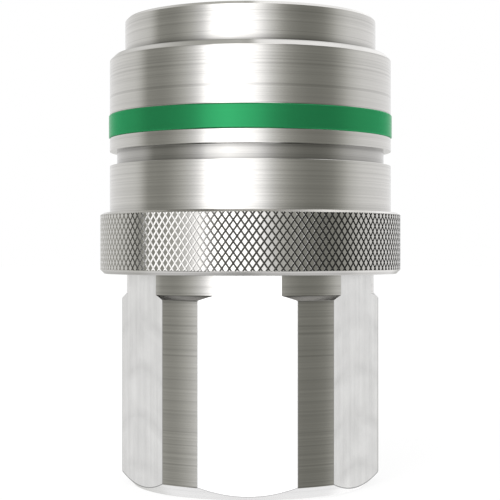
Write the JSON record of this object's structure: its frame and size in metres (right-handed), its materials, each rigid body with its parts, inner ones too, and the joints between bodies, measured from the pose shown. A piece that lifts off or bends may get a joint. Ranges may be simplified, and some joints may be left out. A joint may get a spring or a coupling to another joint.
{
  "type": "non-drip coupling",
  "caption": "Socket half of a flat-faced non-drip coupling with a knurled locking sleeve, lock balls, a sprung valve and a hexagonal threaded rear body.",
  "frame": {"origin": "centre of the hexagonal end face, on the axis, at the plane the part stands on", "axes": "+Z along the axis to the plug end; one flat of the hexagon faces -Y and one faces +Y"},
  "size_m": [0.0452, 0.0452, 0.0695],
  "materials": {
    "steel_body": "fine turned stainless steel",
    "steel_sleeve": "fine turned stainless steel, knurled grip",
    "steel_valve": "ground stainless steel",
    "spring_steel": "drawn wire",
    "ball_steel": "polished",
    "green_anodised": "satin, dyed green",
    "seal_rubber": "moulded rubber",
    "white_plastic": "turned low-friction plastic"
  },
  "bodies": {
    "body": {"rear_body": "steel_body", "front_body": "steel_body", "joint_seal": "seal_rubber", "sleeve_spring": "spring_steel", "retaining_ring": "spring_steel", "plug_seal": "seal_rubber", "backup_ring": "white_plastic", "valve_spring": "spring_steel", "valve_stem": "steel_valve", "stem_seal": "seal_rubber", "stem_spider": "steel_valve", "stem_nut": "steel_valve"},
    "washer": {"spring_washer": "steel_valve"},
    "sleeve": {"locking_sleeve": "steel_sleeve", "colour_ring": "green_anodised"},
    "valve": {"valve_sleeve": "steel_valve"},
    "lock_ball_01": {"lock_ball_01": "ball_steel"},
    "lock_ball_02": {"lock_ball_02": "ball_steel"},
    "lock_ball_03": {"lock_ball_03": "ball_steel"},
    "lock_ball_04": {"lock_ball_04": "ball_steel"},
    "lock_ball_05": {"lock_ball_05": "ball_steel"},
    "lock_ball_06": {"lock_ball_06": "ball_steel"},
    "lock_ball_07": {"lock_ball_07": "ball_steel"},
    "lock_ball_08": {"lock_ball_08": "ball_steel"},
    "lock_ball_09": {"lock_ball_09": "ball_steel"},
    "lock_ball_10": {"lock_ball_10": "ball_steel"},
    "lock_ball_11": {"lock_ball_11": "ball_steel"},
    "lock_ball_12": {"lock_ball_12": "ball_steel"}
  },
  "joints": [
    {"name": "sleeve_slide", "type": "slide", "parent": "body", "child": "washer", "axis": [0, 0, -1], "range_m": [0, 0.003], "stiffness_N_per_m": 4000, "springref_m": -0.004, "deforming": ["sleeve_spring"]},
    {"name": "sleeve_spin", "type": "hinge", "parent": "washer", "child": "sleeve", "pos_m": [0, 0, 0], "axis": [0, 0, 1], "continuous": true},
    {"name": "valve_slide", "type": "slide", "parent": "body", "child": "valve", "axis": [0, 0, -1], "range_m": [0, 0.007], "stiffness_N_per_m": 3000, "springref_m": -0.006, "deforming": ["valve_spring"]},
    {"name": "lock_ball_01_slide", "type": "slide", "parent": "body", "child": "lock_ball_01", "axis": [1, 0, 0], "range_m": [0, 0.00078]},
    {"name": "lock_ball_02_slide", "type": "slide", "parent": "body", "child": "lock_ball_02", "axis": [0.866, 0.5, 0], "range_m": [0, 0.00078]},
    {"name": "lock_ball_03_slide", "type": "slide", "parent": "body", "child": "lock_ball_03", "axis": [0.5, 0.866, 0], "range_m": [0, 0.00078]},
    {"name": "lock_ball_04_slide", "type": "slide", "parent": "body", "child": "lock_ball_04", "axis": [0, 1, 0], "range_m": [0, 0.00078]},
    {"name": "lock_ball_05_slide", "type": "slide", "parent": "body", "child": "lock_ball_05", "axis": [-0.5, 0.866, 0], "range_m": [0, 0.00078]},
    {"name": "lock_ball_06_slide", "type": "slide", "parent": "body", "child": "lock_ball_06", "axis": [-0.866, 0.5, 0], "range_m": [0, 0.00078]},
    {"name": "lock_ball_07_slide", "type": "slide", "parent": "body", "child": "lock_ball_07", "axis": [-1, 0, 0], "range_m": [0, 0.00078]},
    {"name": "lock_ball_08_slide", "type": "slide", "parent": "body", "child": "lock_ball_08", "axis": [-0.866, -0.5, 0], "range_m": [0, 0.00078]},
    {"name": "lock_ball_09_slide", "type": "slide", "parent": "body", "child": "lock_ball_09", "axis": [-0.5, -0.866, 0], "range_m": [0, 0.00078]},
    {"name": "lock_ball_10_slide", "type": "slide", "parent": "body", "child": "lock_ball_10", "axis": [0, -1, 0], "range_m": [0, 0.00078]},
    {"name": "lock_ball_11_slide", "type": "slide", "parent": "body", "child": "lock_ball_11", "axis": [0.5, -0.866, 0], "range_m": [0, 0.00078]},
    {"name": "lock_ball_12_slide", "type": "slide", "parent": "body", "child": "lock_ball_12", "axis": [0.866, -0.5, 0], "range_m": [0, 0.00078]}
  ],
  "couplings": [
    {"joint": "lock_ball_01_slide", "follows": "sleeve_slide", "ratio": 0.26},
    {"joint": "lock_ball_02_slide", "follows": "sleeve_slide", "ratio": 0.26},
    {"joint": "lock_ball_03_slide", "follows": "sleeve_slide", "ratio": 0.26},
    {"joint": "lock_ball_04_slide", "follows": "sleeve_slide", "ratio": 0.26},
    {"joint": "lock_ball_05_slide", "follows": "sleeve_slide", "ratio": 0.26},
    {"joint": "lock_ball_06_slide", "follows": "sleeve_slide", "ratio": 0.26},
    {"joint": "lock_ball_07_slide", "follows": "sleeve_slide", "ratio": 0.26},
    {"joint": "lock_ball_08_slide", "follows": "sleeve_slide", "ratio": 0.26},
    {"joint": "lock_ball_09_slide", "follows": "sleeve_slide", "ratio": 0.26},
    {"joint": "lock_ball_10_slide", "follows": "sleeve_slide", "ratio": 0.26},
    {"joint": "lock_ball_11_slide", "follows": "sleeve_slide", "ratio": 0.26},
    {"joint": "lock_ball_12_slide", "follows": "sleeve_slide", "ratio": 0.26}
  ]
}
